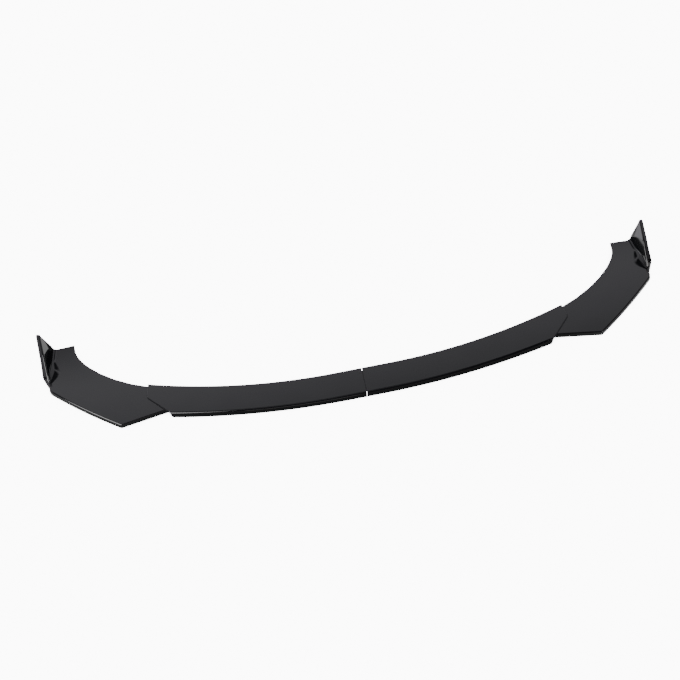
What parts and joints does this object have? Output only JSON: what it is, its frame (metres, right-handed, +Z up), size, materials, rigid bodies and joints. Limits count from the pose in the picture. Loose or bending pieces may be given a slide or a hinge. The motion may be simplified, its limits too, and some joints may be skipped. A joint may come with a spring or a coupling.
{
  "type": "front splitter lip",
  "caption": "Wide curved front lip in lapped mouldings, with a turned-down flange along the front and an outward-leaning winglet at each end.",
  "frame": {"origin": "on the ground under the middle of the lip's box, below its symmetry plane", "axes": "+X across the car from the left end to the right end, -Y towards the front of the lip, +Z up"},
  "size_m": [1.7774, 0.3534, 0.0668],
  "materials": {
    "gloss_black": "moulded black plastic with a high gloss",
    "zinc_steel": "zinc-plated steel"
  },
  "bodies": {
    "root": {"left_centre_blade": "gloss_black", "right_centre_blade": "gloss_black", "left_end_blade": "gloss_black", "right_end_blade": "gloss_black", "seam_washers": "zinc_steel", "seam_screws": "zinc_steel", "left_lap_washers": "zinc_steel", "left_lap_screws": "zinc_steel", "right_lap_washers": "zinc_steel", "right_lap_screws": "zinc_steel"}
  },
  "joints": []
}
